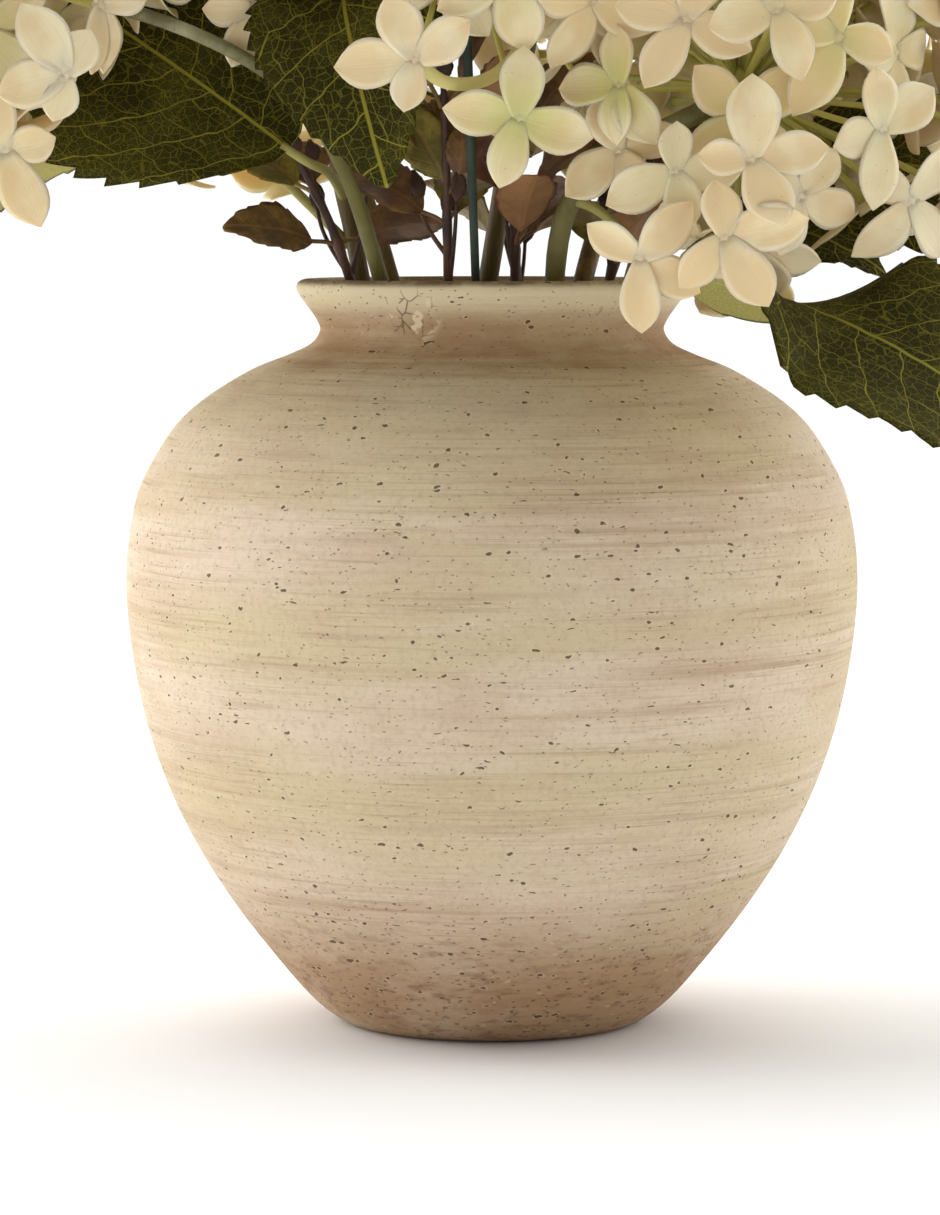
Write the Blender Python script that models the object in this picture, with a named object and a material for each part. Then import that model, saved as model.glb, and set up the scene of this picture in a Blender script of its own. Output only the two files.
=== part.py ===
"""Hydrangeas in a vase: a round stoneware vase that holds eight cut hydrangea stems and five
sprigs of young brown foliage. Metres, +Z up, origin at the centre of the vase's foot.

Each stem runs from the vase's floor, past the neck, to the hub of its flower head. The lower ends
cross in one direction round the vase, as in a hand-tied bunch, so that no two stems touch.
"""

import math

import bmesh
import bpy
from mathutils import Matrix, Vector
from mathutils.geometry import interpolate_bezier
from mathutils.kdtree import KDTree

GAP = 0.0004

# Vase: (radius, height) points on its outer side, from the foot to the lip.
VASE_OUTLINE = [
    (0.0435, 0.0015),
    (0.0520, 0.0095),
    (0.0760, 0.0410),
    (0.0925, 0.0760),
    (0.1000, 0.1210),
    (0.0930, 0.1535),
    (0.0760, 0.1725),
    (0.0545, 0.1835),
    (0.0469, 0.1895),
    (0.0505, 0.1965),
    (0.0532, 0.2005),
]
FOOT_RADIUS = 0.0420
VASE_HEIGHT = 0.2035
LIP_RADIUS = 0.0500
WALL = 0.0060
FLOOR_THICKNESS = 0.0080
VASE_STEPS = 32
VASE_RINGS_PER_SPAN = 2

# Stems pass the neck at this height; their feet stand on the vase's floor.
NECK_Z = 0.1900
FOOT_SHARE = 0.74
FOOT_TURN = math.radians(100)
STEM_SIDES_RESOLUTION = 1
STEM_POINTS_PER_SPAN = 4

# Flower heads.
HUB_RADIUS = 0.0060
PEDICEL_RADIUS = 0.0008
FLORET_RADIUS = 0.0175
FLORET_THICKNESS = 0.0022
FLORET_CUP = 0.0025
# A sepal's outline: (angle from its notch, share of the floret's radius, share of the cup).
SEPAL_OUTLINE = [(0.0, 0.42, 0.0), (0.32, 0.94, 0.8), (1.25, 0.94, 0.8)]
FLORET_DEPTH = 0.0060
STEM_SIDE_LIMIT = 0.62
LEAST_REACH = 0.74
RIM_CLEARANCE = 0.0680
RIM_CLEARANCE_TOP = 0.2250
CLEAR_OF_LEAVES = 0.0040
OBSTACLE_STEP = 0.003
PEDICEL_FLARE = 1.4
PEDICEL_INSET = 0.08
FLORET_ROLL = 1.7

# name: (centre, radius, way it faces, neck point, extra points of its stem, stem radius)
HEADS = {
    "front": ((-0.008, -0.062, 0.300), 0.066, (-0.1, -0.9, 0.5), (-0.004, -0.034), [], 0.0013),
    "right_front": ((0.064, -0.060, 0.253), 0.064, (0.5, -0.8, 0.3), (0.015, -0.030),
                    [(0.023, -0.040, 0.228)], 0.0024),
    "left": ((-0.143, -0.060, 0.284), 0.064, (-0.8, -0.5, 0.2), (-0.026, -0.022),
             [(-0.038, -0.041, 0.230), (-0.052, -0.058, 0.252), (-0.074, -0.064, 0.266),
              (-0.104, -0.064, 0.276)], 0.0020),
    "left_rear": ((-0.074, -0.016, 0.334), 0.065, (-0.6, -0.2, 0.8), (-0.033, 0.006),
                  [(-0.046, 0.000, 0.250)], 0.0023),
    "top": ((0.028, 0.004, 0.382), 0.070, (0.1, -0.1, 1.0), (-0.003, 0.031), [], 0.0024),
    "right": ((0.140, 0.006, 0.306), 0.067, (0.9, -0.1, 0.4), (0.034, -0.004),
              [(0.050, 0.000, 0.232), (0.090, 0.004, 0.266)], 0.0024),
    "rear_right": ((0.070, 0.090, 0.286), 0.067, (0.6, 0.8, 0.3), (0.022, 0.026),
                   [(0.036, 0.046, 0.232)], 0.0024),
    "rear_left": ((-0.068, 0.086, 0.290), 0.067, (-0.6, 0.8, 0.3), (-0.024, 0.023),
                  [(-0.038, 0.044, 0.232)], 0.0024),
}

# Large leaves: name: (stem it grows on, share of the stem's length, blade base, blade tip,
#                      way its upper side faces, width, arch, fold, turn at its base)
LEAVES = {
    "left_front": ("left_rear", 0.66, (-0.0540, -0.038, 0.238), (-0.148, 0.010, 0.300),
                   (0.25, -0.95, 0.20), 0.084, 0.006, 0.08, 0),
    "centre_drooping": ("left_rear", 0.80, (-0.040, -0.046, 0.292), (-0.027, -0.082, 0.2275),
                        (-0.25, -0.85, 0.45), 0.050, 0.012, 0.18, 0),
    "right_low": ("right_front", 0.80, (0.048, -0.060, 0.206), (0.150, -0.098, 0.146),
                  (0.44, -0.70, 0.52), 0.066, 0.016, 0.12, -100),
    "right_mid": ("right", 0.78, (0.076, -0.020, 0.236), (0.168, -0.042, 0.222),
                  (0.15, -0.85, 0.50), 0.056, 0.006, 0.12, 0),
    "left_low": ("left_rear", 0.62, (-0.098, 0.006, 0.246), (-0.192, -0.016, 0.205),
                 (-0.10, 0.50, 0.85), 0.056, 0.006, 0.12, 0),
    "left_side": ("left_rear", 0.72, (-0.070, 0.020, 0.262), (-0.160, 0.030, 0.262),
                  (-0.15, 0.15, 1.00), 0.060, 0.014, 0.12, 0),
    "right_side": ("right", 0.84, (0.112, 0.030, 0.250), (0.180, 0.062, 0.226),
                   (0.45, 0.45, 0.80), 0.056, 0.012, 0.16, 0),
    "rear_centre": ("rear_right", 0.70, (0.016, 0.070, 0.240), (-0.006, 0.148, 0.232),
                    (0.00, 0.55, 0.85), 0.060, 0.014, 0.14, 0),
    "rear_right_low": ("rear_right", 0.82, (0.080, 0.070, 0.232), (0.134, 0.128, 0.222),
                       (0.35, 0.40, 0.85), 0.058, 0.012, 0.14, 0),
    "rear_left_low": ("rear_left", 0.82, (-0.076, 0.068, 0.254), (-0.130, 0.124, 0.250),
                      (-0.35, 0.40, 0.85), 0.058, 0.012, 0.14, 0),
    "rim_right": ("right", 0.62, (0.046, -0.022, 0.216), (0.104, -0.042, 0.205),
                  (0.20, -0.50, 0.90), 0.040, 0.008, 0.10, 0),
}
LEAF_THICKNESS = 0.0009
LEAF_STATIONS = 8
LEAF_ACROSS = 4
TURN_SHARE = 0.36
PETIOLE_STATIONS = 3
PETIOLE_RADIUS = 0.0013
# Where a petiole's two bends lie: shares of the way from the stem to the blade.
PETIOLE_BEND = 0.4
PETIOLE_LIFT = 0.15
PETIOLE_LEAVE = 0.35
# The blade's first station and how far its stations reach, as shares of its length.
BLADE_START = 0.02
BLADE_REACH = 0.96

# Brown sprigs: name: (neck point, tip of the sprig, its pairs of leaves), each pair as
# (height, way the one leaf points, way the other points, climb), in metres and degrees.
SPRIGS = {
    "centre": ((-0.0115, -0.027), (-0.013, -0.038, 0.256),
               [(0.2185, 166, 72, 0.50), (0.232, 166, 70, 1.20), (0.249, 220, 350, 1.60)]),
    "left": ((-0.034, -0.012), (-0.052, -0.022, 0.236),
             [(0.213, 200, 30, 0.15), (0.226, 150, 110, 0.50)]),
    "centre_right": ((0.006, -0.022), (0.006, -0.032, 0.252),
                     [(0.213, 282, 62, 0.70), (0.224, 134, 345, 0.80), (0.240, 265, 10, 1.10)]),
    "right": ((0.028, -0.019), (0.042, -0.026, 0.236),
              [(0.208, 110, 290, 0.60), (0.225, 150, 20, 0.80)]),
    "rear": ((0.008, 0.037), (0.004, 0.054, 0.250),
             [(0.212, 165, 318, 0.70), (0.232, 150, 330, 1.00)]),
}
SPRIG_STEM_RADIUS = 0.0014
SPRIG_BOW = 0.004
SPRIG_LEAF_CLEARANCE = 0.0009
SPRIG_LEAF_LENGTH = 0.025
SPRIG_LEAF_WIDTH = 0.017
SPRIG_LEAF_ARCH = 0.002
SPRIG_LEAF_FOLD = 0.25
SPRIG_LEAF_TILT = 1.2
SPRIG_LEAF_STATIONS = 5
SPRIG_LEAF_ACROSS = 2
SPRIG_PETIOLE = 0.006
SPRIG_PETIOLE_RADIUS = 0.0007

COLOURS = {
    "ceramic": ((0.63, 0.55, 0.40), 0.85),
    "sepal": ((0.86, 0.79, 0.62), 0.70),
    "leaf": ((0.10, 0.12, 0.03), 0.65),
    "stem": ((0.16, 0.20, 0.07), 0.60),
    "brown_leaf": ((0.22, 0.10, 0.05), 0.60),
    "brown_stem": ((0.12, 0.05, 0.03), 0.60),
}


def clear_scene():
    for obj in list(bpy.data.objects):
        bpy.data.objects.remove(obj)


def material(kind):
    """The Principled material of that kind, made once."""
    if kind in bpy.data.materials:
        return bpy.data.materials[kind]
    colour, roughness = COLOURS[kind]
    made = bpy.data.materials.new(kind)
    made.use_nodes = True
    shader = made.node_tree.nodes["Principled BSDF"]
    shader.inputs["Base Color"].default_value = (*colour, 1.0)
    shader.inputs["Roughness"].default_value = roughness
    shader.inputs["Metallic"].default_value = 0.0
    return made


def add_object(name, data, kind):
    obj = bpy.data.objects.new(name, data)
    data.materials.append(material(kind))
    bpy.context.scene.collection.objects.link(obj)
    return obj


def spline_through(points, per_span):
    """A Catmull-Rom curve through the points, with per_span steps between each two."""
    points = [Vector(p) for p in points]
    ends = [2 * points[0] - points[1], *points, 2 * points[-1] - points[-2]]
    curve = []
    for before, start, end, after in zip(ends, ends[1:], ends[2:], ends[3:]):
        for step in range(per_span):
            t = step / per_span
            curve.append(0.5 * (2 * start + (end - before) * t
                                + (2 * before - 5 * start + 4 * end - after) * t * t
                                + (3 * start - before - 3 * end + after) * t ** 3))
    return curve + [points[-1]]


# ---------------------------------------------------------------- vase

def vase_profile():
    """The section's outline from the middle of the floor, over the lip, to the middle of the foot."""
    outer = spline_through(VASE_OUTLINE, VASE_RINGS_PER_SPAN)
    inner = []
    for before, point, after in list(zip(outer, outer[1:], outer[2:]))[::2]:
        rising = (after - before).normalized()
        inward = point + WALL * Vector((-rising.y, rising.x))
        if inward.y > FLOOR_THICKNESS + WALL / 2:
            inner.append(inward)
    floor_edge = Vector((inner[0].x - WALL, FLOOR_THICKNESS))
    lip = [Vector((LIP_RADIUS - WALL / 3, VASE_HEIGHT - WALL / 9)),
           Vector((LIP_RADIUS, VASE_HEIGHT)),
           Vector((LIP_RADIUS + WALL / 3, VASE_HEIGHT - WALL / 9))]
    return [Vector((0, FLOOR_THICKNESS)), floor_edge, *inner[:-1], *lip, *reversed(outer),
            Vector((FOOT_RADIUS, 0)), Vector((0, 0))]


def add_vase():
    mesh = bpy.data.meshes.new("vase")
    profile = vase_profile()
    edges = [(i, i + 1) for i in range(len(profile) - 1)]
    mesh.from_pydata([(p.x, 0, p.y) for p in profile], edges, [])
    vase = add_object("vase", mesh, "ceramic")
    turn = vase.modifiers.new("turn", "SCREW")
    turn.steps = turn.render_steps = VASE_STEPS
    turn.use_merge_vertices = True
    turn.merge_threshold = 0.00005
    turn.use_smooth_shade = True


# ---------------------------------------------------------------- stems

def foot_of(neck):
    """Where a stem that passes the neck at this point stands on the floor."""
    turned = Matrix.Rotation(FOOT_TURN, 2) @ (Vector(neck) * FOOT_SHARE)
    return Vector((turned.x, turned.y, FLOOR_THICKNESS + GAP))


def stem_path(neck, extra, end):
    """Points of a stem from its foot to its end, straight up to the neck and curved above it."""
    foot = foot_of(neck)
    through = Vector((*neck, NECK_Z))
    above = spline_through([through, *extra, end], STEM_POINTS_PER_SPAN)
    return [foot, *above]


def head_stem_path(name):
    centre, _, _, neck, extra, _ = HEADS[name]
    centre = Vector(centre)
    last = Vector(extra[-1]) if extra else Vector((*neck, NECK_Z))
    from_below = (last - centre).normalized()
    return stem_path(neck, extra, centre + from_below * (HUB_RADIUS + GAP))


def add_stem(name, path, radius, kind):
    curve = bpy.data.curves.new(name, "CURVE")
    curve.dimensions = "3D"
    curve.bevel_depth = radius
    curve.bevel_resolution = STEM_SIDES_RESOLUTION
    curve.use_fill_caps = True
    spline = curve.splines.new("POLY")
    spline.points.add(len(path) - 1)
    for point, place in zip(spline.points, path):
        point.co = (*place, 1.0)
    lift = Vector((0, 0, radius))
    spline.points[0].co = (*(path[0] + lift), 1.0)
    add_object(name, curve, kind)


def along(path, share):
    """The point and direction at a share of a path's length."""
    lengths = [(b - a).length for a, b in zip(path, path[1:])]
    left = share * sum(lengths)
    for start, end, length in zip(path, path[1:], lengths):
        if left <= length:
            return start.lerp(end, left / length), (end - start).normalized()
        left -= length
    return path[-1], (path[-1] - path[-2]).normalized()


def at_height(path, height):
    """The point and direction where a rising path passes a height."""
    for start, end in zip(path, path[1:]):
        if start.z <= height <= end.z:
            share = (height - start.z) / (end.z - start.z)
            return start.lerp(end, share), (end - start).normalized()
    return path[-1], (path[-1] - path[-2]).normalized()


# ---------------------------------------------------------------- leaves

def half_width(u):
    """Half the width of an ovate blade at u, from 0 at its base to 1 at its tip, as a share."""
    return math.sin(math.pi * min(1.0, u) ** 0.84) ** 0.94


def leaf_sections(root, base, tip, facing, width, arch, fold, turn, petiole_radius, across,
                  stations):
    """Closed rings from the petiole's root along the blade, and the point at the blade's tip.

    A ring runs over the upper side from one edge to the other and back along the under side.
    The blade is turned about its length by turn degrees at its base, and less further along.
    """
    base, tip, facing = Vector(base), Vector(tip), Vector(facing).normalized()
    crest = (base + tip) / 2 + facing * arch * 2
    leave = (crest - base).normalized()
    reach = (base - root).length
    bend = root.lerp(base, PETIOLE_BEND) + Vector((0, 0, PETIOLE_LIFT * reach))
    petiole = interpolate_bezier(root, bend, base - leave * PETIOLE_LEAVE * reach, base,
                                 PETIOLE_STATIONS + 1)
    centres = [(p, petiole_radius, petiole_radius, 0.0, turn) for p in petiole[:-1]]
    for i in range(stations):
        u = BLADE_START + i / stations * BLADE_REACH
        middle = base.lerp(crest, u).lerp(crest.lerp(tip, u), u)
        half = max(petiole_radius, width / 2 * half_width(u))
        thick = max(LEAF_THICKNESS / 2, petiole_radius * (1 - 3 * u))
        centres.append((middle, half, thick, fold, turn * max(0.0, 1 - u / TURN_SHARE)))
    rings = []
    for i, (middle, half, thick, lift, turned) in enumerate(centres):
        ahead = centres[i + 1][0] if i + 1 < len(centres) else tip
        behind = centres[i - 1][0] if i else middle
        tangent = (ahead - behind).normalized()
        side = tangent.cross(facing).normalized()
        side.rotate(Matrix.Rotation(math.radians(turned), 3, tangent))
        normal = side.cross(tangent)
        upper, under = [], []
        for j in range(1, across):
            v = 2 * j / across - 1
            bulge = thick * math.sqrt(1 - v * v) if half < 2 * thick else thick
            rise = lift * abs(v) * half
            upper.append(middle + side * v * half + normal * (rise + bulge))
            under.append(middle + side * v * half + normal * (rise - bulge))
        left = middle - side * half + normal * lift * half
        right = middle + side * half + normal * lift * half
        rings.append([left, *upper, right, *reversed(under)])
    return rings, tip


def add_leaf(name, sections, kind):
    rings, tip = sections
    shape = bmesh.new()
    made = [[shape.verts.new(p) for p in ring] for ring in rings]
    size = len(made[0])
    for near, far in zip(made, made[1:]):
        for i in range(size):
            j = (i + 1) % size
            shape.faces.new((near[i], near[j], far[j], far[i]))
    end = shape.verts.new(tip)
    for i in range(size):
        shape.faces.new((made[-1][i], made[-1][(i + 1) % size], end))
    shape.faces.new(list(reversed(made[0])))
    bmesh.ops.recalc_face_normals(shape, faces=shape.faces)
    mesh = bpy.data.meshes.new(name)
    shape.to_mesh(mesh)
    shape.free()
    mesh.shade_smooth()
    add_object(name, mesh, kind)


def beside(point, direction, towards, distance):
    """A point at that distance from a stem's middle line, on the side that faces towards."""
    out = Vector(towards) - point
    out -= out.dot(direction) * direction
    return point + out.normalized() * distance


def large_leaf_sections(name):
    stem, share, base, tip, facing, width, arch, fold, turn = LEAVES[name]
    point, direction = along(head_stem_path(stem), share)
    reach = HEADS[stem][5] + PETIOLE_RADIUS + GAP
    root = beside(point, direction, base, reach)
    return leaf_sections(root, base, tip, facing, width, arch, fold, turn, PETIOLE_RADIUS,
                         LEAF_ACROSS, LEAF_STATIONS)


def sprig_path(name):
    neck, tip, _ = SPRIGS[name]
    middle = Vector((*neck, NECK_Z)).lerp(Vector(tip), 0.5) + Vector((0, 0, SPRIG_BOW))
    return stem_path(neck, [middle], Vector(tip))


def sprig_leaves(name):
    """(leaf name, sections) for the opposite pairs up a sprig."""
    path = sprig_path(name)
    outward = math.copysign(SPRIG_LEAF_TILT, SPRIGS[name][0][1])
    leaves = []
    for pair, (height, *turns, climb) in enumerate(SPRIGS[name][2]):
        point, direction = at_height(path, height)
        for side, turn in enumerate(map(math.radians, turns)):
            out = Vector((math.cos(turn), math.sin(turn), climb)).normalized()
            root = beside(point, direction, point + out,
                          SPRIG_STEM_RADIUS + SPRIG_LEAF_CLEARANCE + GAP)
            base = root + out * SPRIG_PETIOLE
            tip = base + out * SPRIG_LEAF_LENGTH
            facing = Vector((-out.x * climb, outward * abs(out.x) - out.y * climb, 1.0))
            sections = leaf_sections(root, base, tip, facing, SPRIG_LEAF_WIDTH,
                                     SPRIG_LEAF_ARCH, SPRIG_LEAF_FOLD, 0, SPRIG_PETIOLE_RADIUS,
                                     SPRIG_LEAF_ACROSS, SPRIG_LEAF_STATIONS)
            leaves.append((f"sprig_{name}_leaf_{2 * pair + side + 1}", sections))
    return leaves


# ---------------------------------------------------------------- flower heads

def points_between(rings, tip):
    """Points over a leaf, close enough together that a floret between them would touch it."""
    for near, far in zip(rings, rings[1:] + [[tip] * len(rings[0])]):
        for a, b in zip(near, far):
            for share in (0, 0.5):
                yield a.lerp(b, share)
        for a, b in zip(near, near[1:]):
            for share in (0.33, 0.67):
                yield a.lerp(b, share)


def obstacles():
    """A tree of points on every leaf and stem, which florets keep clear of."""
    points = []
    for name in LEAVES:
        points += points_between(*large_leaf_sections(name))
    for name in SPRIGS:
        for _, sections in sprig_leaves(name):
            points += points_between(*sections)
    for path in [head_stem_path(n) for n in HEADS] + [sprig_path(n) for n in SPRIGS]:
        for start, end in zip(path, path[1:]):
            steps = max(1, round((end - start).length / OBSTACLE_STEP))
            points += [start.lerp(end, i / steps) for i in range(steps)]
    tree = KDTree(len(points))
    for i, point in enumerate(points):
        tree.insert(point, i)
    tree.balance()
    return tree


def reach_between_heads(head, hub, outward):
    """How far from its hub a floret can sit before it meets a neighbouring head's."""
    reach = HEADS[head][1] - FLORET_DEPTH
    for other, (other_centre, *_rest) in HEADS.items():
        if other == head:
            continue
        away = Vector(other_centre) - hub
        facing = outward.dot(away.normalized())
        if facing > 0:
            spread = FLORET_RADIUS * math.sqrt(1 - facing * facing)
            reach = min(reach, (away.length / 2 - FLORET_CUP - spread) / facing)
    return reach


def floret_fits(hub, centre, outward, size, taken):
    """True if a floret here is clear of the vase, the leaves and the stems."""
    side = outward.orthogonal().normalized()
    disc = [centre]
    for i in range(8):
        arm = Matrix.Rotation(math.tau * i / 8, 3, outward) @ side
        disc += [centre + arm * size, centre + arm * size * 0.5]
    if any(math.hypot(p.x, p.y) < RIM_CLEARANCE and p.z < RIM_CLEARANCE_TOP for p in disc):
        return False
    pedicel = [hub.lerp(centre, share / 10) for share in range(3, 10)]
    return all(taken.find(p)[2] > CLEAR_OF_LEAVES for p in disc + pedicel)


def grow_floret(shape, face, centre, outward, size, roll):
    """Draws a pedicel out of a face of the hub and opens it into a four-sepal floret."""
    bmesh.ops.inset_individual(shape, faces=[face], thickness=HUB_RADIUS * PEDICEL_INSET)
    foot = face.calc_center_median()
    turn = face.normal.rotation_difference(outward)
    for vert in face.verts:
        vert.co = foot + (vert.co - foot).normalized() * PEDICEL_RADIUS * PEDICEL_FLARE
    offsets = [turn @ (vert.co - foot) for vert in face.verts]
    neck = bmesh.ops.extrude_discrete_faces(shape, faces=[face])["faces"][0]
    for vert, offset in zip(neck.verts, offsets):
        vert.co = centre - outward * FLORET_THICKNESS + offset.normalized() * PEDICEL_RADIUS
    ring = list(neck.verts)
    shape.faces.remove(neck)
    side = outward.orthogonal().normalized()
    rim = []
    for sepal in range(4):
        for angle, reach, lift in SEPAL_OUTLINE:
            arm = Matrix.Rotation(roll + math.tau * sepal / 4 + angle, 3, outward) @ side
            rim.append(shape.verts.new(centre + arm * size * reach
                                       + outward * FLORET_CUP * lift))
    top = shape.verts.new(centre)
    nearest = [min(ring, key=lambda vert: (vert.co - point.co).length) for point in rim]
    for i, point in enumerate(rim):
        after = rim[(i + 1) % len(rim)]
        near, far = nearest[i], nearest[(i + 1) % len(rim)]
        shape.faces.new((point, after, top))
        shape.faces.new((after, point, near))
        if near is not far:
            shape.faces.new((after, near, far))


def head_directions(turn):
    """The twenty face and twelve corner directions of an icosahedron, evenly spread florets."""
    solid = bmesh.new()
    bmesh.ops.create_icosphere(solid, subdivisions=1, radius=1.0)
    found = [turn @ f.calc_center_median().normalized() for f in solid.faces]
    found += [turn @ v.co.normalized() for v in solid.verts]
    solid.free()
    return found


def add_head(name, taken):
    centre, radius, facing, *_ = HEADS[name]
    hub = Vector(centre)
    path = head_stem_path(name)
    stem_side = (path[-1] - hub).normalized()
    turn = Vector((0, 0, -1)).rotation_difference(stem_side).to_matrix()
    shape = bmesh.new()
    bmesh.ops.create_icosphere(shape, subdivisions=2, radius=HUB_RADIUS)
    bmesh.ops.transform(shape, matrix=Matrix.Translation(hub) @ turn.to_4x4(), verts=shape.verts)
    shape.faces.ensure_lookup_table()
    free = list(shape.faces)
    for index, outward in enumerate(head_directions(turn)):
        if outward.dot(stem_side) > STEM_SIDE_LIMIT:
            continue
        reach = reach_between_heads(name, hub, outward)
        share = reach / (radius - FLORET_DEPTH)
        floret = hub + outward * reach
        if share < LEAST_REACH or not floret_fits(hub, floret, outward, FLORET_RADIUS * share, taken):
            continue
        face = max(free, key=lambda f: (f.calc_center_median() - hub).normalized().dot(outward))
        free.remove(face)
        grow_floret(shape, face, floret, outward, FLORET_RADIUS * share, FLORET_ROLL * index)
    bmesh.ops.recalc_face_normals(shape, faces=shape.faces)
    mesh = bpy.data.meshes.new(f"head_{name}")
    shape.to_mesh(mesh)
    shape.free()
    mesh.shade_smooth()
    add_object(f"head_{name}", mesh, "sepal")


def main():
    clear_scene()
    add_vase()
    for name, head in HEADS.items():
        add_stem(f"stem_{name}", head_stem_path(name), head[5], "stem")
    for name in LEAVES:
        add_leaf(f"leaf_{name}", large_leaf_sections(name), "leaf")
    for name in SPRIGS:
        add_stem(f"sprig_{name}_stem", sprig_path(name), SPRIG_STEM_RADIUS, "brown_stem")
        for leaf, sections in sprig_leaves(name):
            add_leaf(leaf, sections, "brown_leaf")
    taken = obstacles()
    for name in HEADS:
        add_head(name, taken)


main()
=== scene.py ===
"""The looks of the hydrangeas in a vase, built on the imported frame. Metres, +Z up, -Y to the front.

Every CAD node is replaced by a finer piece that keeps its place: the thrown vase, the stems, the
flower heads, the leaves and the brown sprigs.
"""

import math

import bpy
import numpy as np
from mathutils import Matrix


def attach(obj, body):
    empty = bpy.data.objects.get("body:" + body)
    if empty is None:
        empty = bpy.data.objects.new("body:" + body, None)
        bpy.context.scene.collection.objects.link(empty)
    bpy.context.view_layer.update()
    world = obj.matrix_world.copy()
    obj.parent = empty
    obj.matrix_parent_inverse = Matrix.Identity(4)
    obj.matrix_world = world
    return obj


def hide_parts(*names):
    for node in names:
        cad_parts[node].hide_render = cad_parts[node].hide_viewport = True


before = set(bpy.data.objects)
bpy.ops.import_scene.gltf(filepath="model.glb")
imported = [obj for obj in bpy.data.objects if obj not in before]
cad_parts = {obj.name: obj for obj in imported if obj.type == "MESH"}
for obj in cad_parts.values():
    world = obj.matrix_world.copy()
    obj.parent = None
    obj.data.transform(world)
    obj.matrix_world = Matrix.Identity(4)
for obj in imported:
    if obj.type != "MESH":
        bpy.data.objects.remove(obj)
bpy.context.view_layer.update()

MM = 0.001

# ---------------- places, as in the CAD model

NECK_Z = 0.190
FLOOR_THICKNESS = 0.008
FOOT_SHARE = 0.74
FOOT_TURN = math.radians(100)

# name: (centre, radius, neck point, extra points of its stem, stem radius)
HEADS = {
    "front": ((-0.008, -0.062, 0.300), 0.066, (-0.004, -0.034), [], 0.0013),
    "right_front": ((0.064, -0.060, 0.253), 0.064, (0.015, -0.030),
                    [(0.023, -0.040, 0.228)], 0.0024),
    "left": ((-0.143, -0.060, 0.284), 0.064, (-0.026, -0.022),
             [(-0.038, -0.041, 0.230), (-0.052, -0.058, 0.252), (-0.074, -0.064, 0.266),
              (-0.104, -0.064, 0.276)], 0.0020),
    "left_rear": ((-0.074, -0.016, 0.334), 0.065, (-0.033, 0.006),
                  [(-0.046, 0.000, 0.250)], 0.0023),
    "top": ((0.028, 0.004, 0.382), 0.070, (-0.003, 0.031), [], 0.0024),
    "right": ((0.140, 0.006, 0.306), 0.067, (0.034, -0.004),
              [(0.050, 0.000, 0.232), (0.090, 0.004, 0.266)], 0.0024),
    "rear_right": ((0.070, 0.090, 0.286), 0.067, (0.022, 0.026),
                   [(0.036, 0.046, 0.232)], 0.0024),
    "rear_left": ((-0.068, 0.086, 0.290), 0.067, (-0.024, 0.023),
                  [(-0.038, 0.044, 0.232)], 0.0024),
}

# name: (stem it grows on, share of the stem's length, blade base, blade tip,
#        way its upper side faces, width, arch, fold, turn of its base in degrees)
LEAVES = {
    "left_front": ("left_rear", 0.66, (-0.0540, -0.038, 0.238), (-0.148, 0.010, 0.300),
                   (0.25, -0.95, 0.20), 0.084, 0.006, 0.08, 0),
    "centre_drooping": ("left_rear", 0.80, (-0.040, -0.046, 0.292), (-0.027, -0.082, 0.2275),
                        (-0.25, -0.85, 0.45), 0.050, 0.012, 0.18, 0),
    "right_low": ("right_front", 0.80, (0.048, -0.060, 0.206), (0.150, -0.098, 0.146),
                  (0.44, -0.70, 0.52), 0.066, 0.016, 0.12, -100),
    "right_mid": ("right", 0.78, (0.076, -0.020, 0.236), (0.168, -0.042, 0.222),
                  (0.15, -0.85, 0.50), 0.056, 0.006, 0.12, 0),
    "left_low": ("left_rear", 0.62, (-0.098, 0.006, 0.246), (-0.192, -0.016, 0.205),
                 (-0.10, 0.50, 0.85), 0.056, 0.006, 0.12, 0),
    "left_side": ("left_rear", 0.72, (-0.070, 0.020, 0.262), (-0.160, 0.030, 0.262),
                  (-0.15, 0.15, 1.00), 0.060, 0.014, 0.12, 0),
    "right_side": ("right", 0.84, (0.112, 0.030, 0.250), (0.180, 0.062, 0.226),
                   (0.45, 0.45, 0.80), 0.056, 0.012, 0.16, 0),
    "rear_centre": ("rear_right", 0.70, (0.016, 0.070, 0.240), (-0.006, 0.148, 0.232),
                    (0.00, 0.55, 0.85), 0.060, 0.014, 0.14, 0),
    "rear_right_low": ("rear_right", 0.82, (0.080, 0.070, 0.232), (0.134, 0.128, 0.222),
                       (0.35, 0.40, 0.85), 0.058, 0.012, 0.14, 0),
    "rear_left_low": ("rear_left", 0.82, (-0.076, 0.068, 0.254), (-0.130, 0.124, 0.250),
                      (-0.35, 0.40, 0.85), 0.058, 0.012, 0.14, 0),
    "rim_right": ("right", 0.62, (0.046, -0.022, 0.216), (0.104, -0.042, 0.205),
                  (0.20, -0.50, 0.90), 0.040, 0.008, 0.10, 0),
}

# name: (neck point, tip of the sprig, its pairs of leaves), each pair as
# (height, way the one leaf points, way the other points, climb), in metres and degrees.
SPRIGS = {
    "centre": ((-0.0115, -0.027), (-0.013, -0.038, 0.256),
               [(0.2185, 166, 72, 0.50), (0.232, 166, 70, 1.20), (0.249, 220, 350, 1.60)]),
    "left": ((-0.034, -0.012), (-0.052, -0.022, 0.236),
             [(0.213, 200, 30, 0.15), (0.226, 150, 110, 0.50)]),
    "centre_right": ((0.006, -0.022), (0.006, -0.032, 0.252),
                     [(0.213, 282, 62, 0.70), (0.224, 134, 345, 0.80), (0.240, 265, 10, 1.10)]),
    "right": ((0.028, -0.019), (0.042, -0.026, 0.236),
              [(0.208, 110, 290, 0.60), (0.225, 150, 20, 0.80)]),
    "rear": ((0.008, 0.037), (0.004, 0.054, 0.250),
             [(0.212, 165, 318, 0.70), (0.232, 150, 330, 1.00)]),
}
SPRIG_STEM_RADIUS = 0.0014
SPRIG_LEAF_LENGTH = 0.025
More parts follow.
